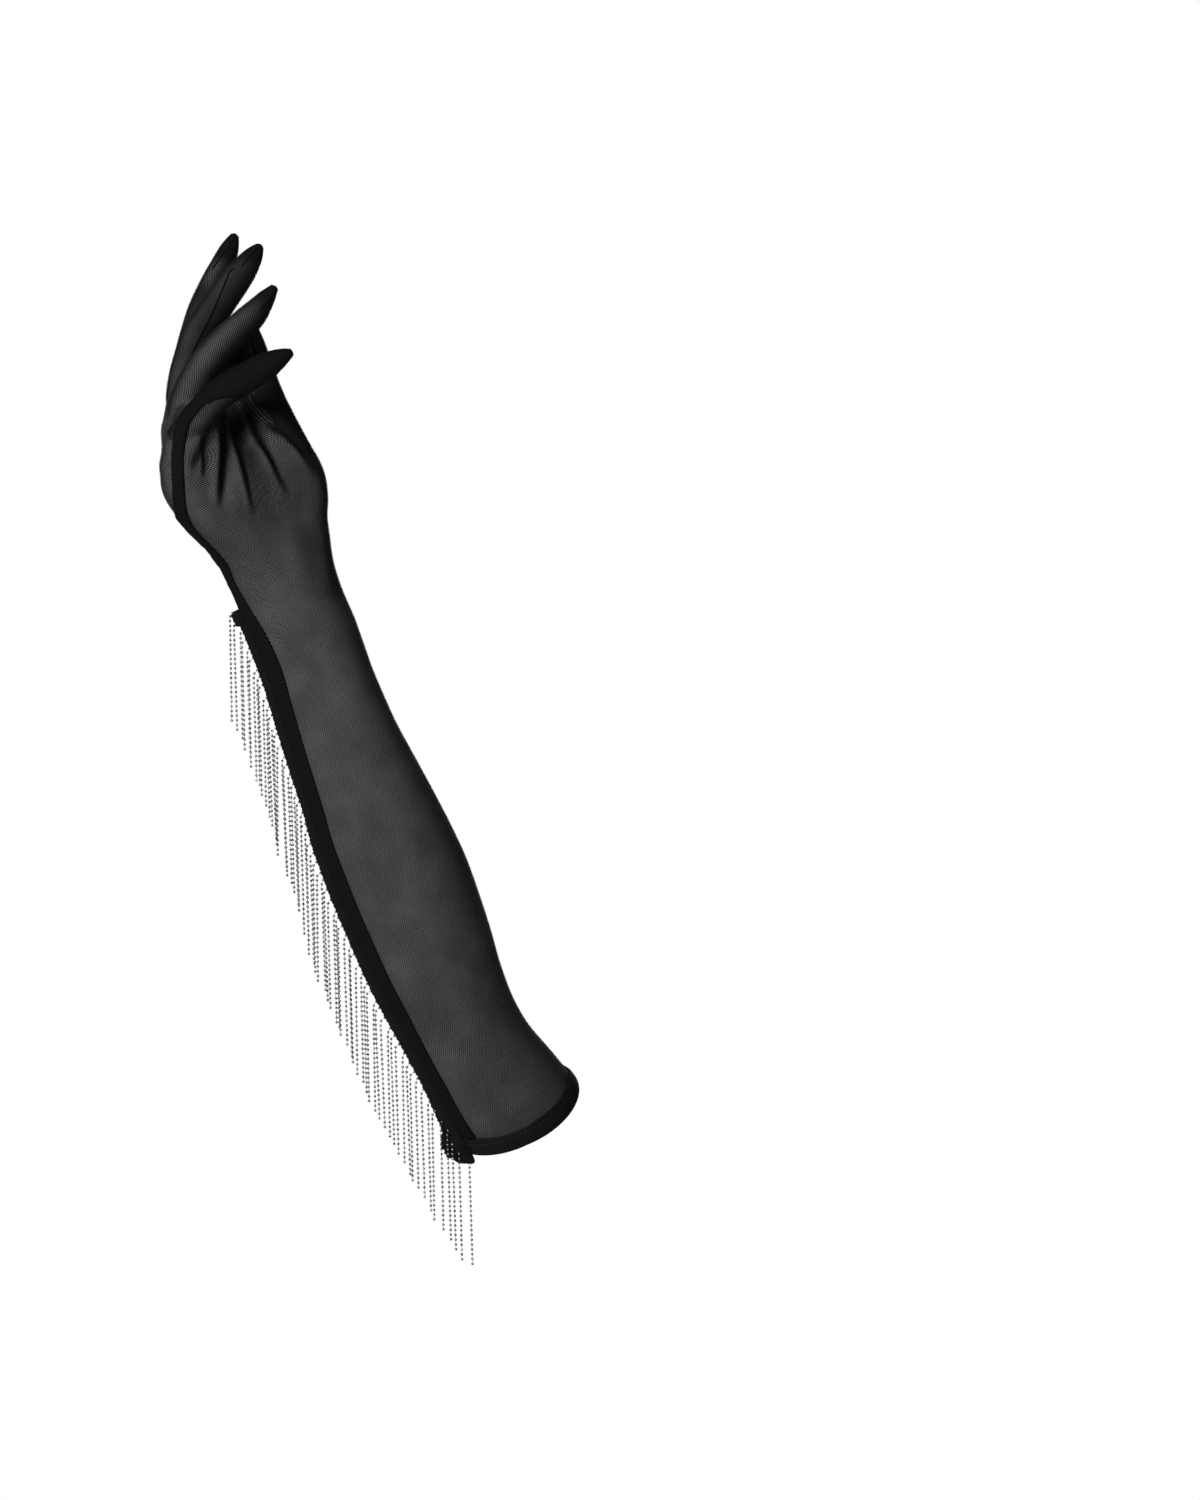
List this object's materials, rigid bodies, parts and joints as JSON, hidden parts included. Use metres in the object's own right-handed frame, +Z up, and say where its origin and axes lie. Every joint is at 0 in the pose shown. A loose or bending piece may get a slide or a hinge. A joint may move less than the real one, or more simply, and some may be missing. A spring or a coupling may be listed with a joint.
{
  "type": "beaded mesh glove",
  "caption": "Elbow-length stretch mesh glove for the right hand, with a smooth side band, a turned hem and a trim tape hung with strands of small beads.",
  "frame": {"origin": "centre of the opening at the elbow, where the arm goes in", "axes": "+Z up towards the fingertips, +X to the thumb side of the palm, +Y to the thumb's side of the hand, away from the little finger"},
  "size_m": [0.2191, 0.1333, 0.542],
  "materials": {
    "mesh": "sheer black stretch mesh knit, soft sheen",
    "hem": "turned and stitched black knit, matte",
    "band": "close-knit black stretch fabric, smooth",
    "fringe": "small bright metal beads on fine links, on a rough black tape"
  },
  "bodies": {
    "root": {"mesh_glove": "mesh", "opening_hem": "hem", "side_band": "band", "bead_fringe": "fringe"}
  },
  "joints": []
}
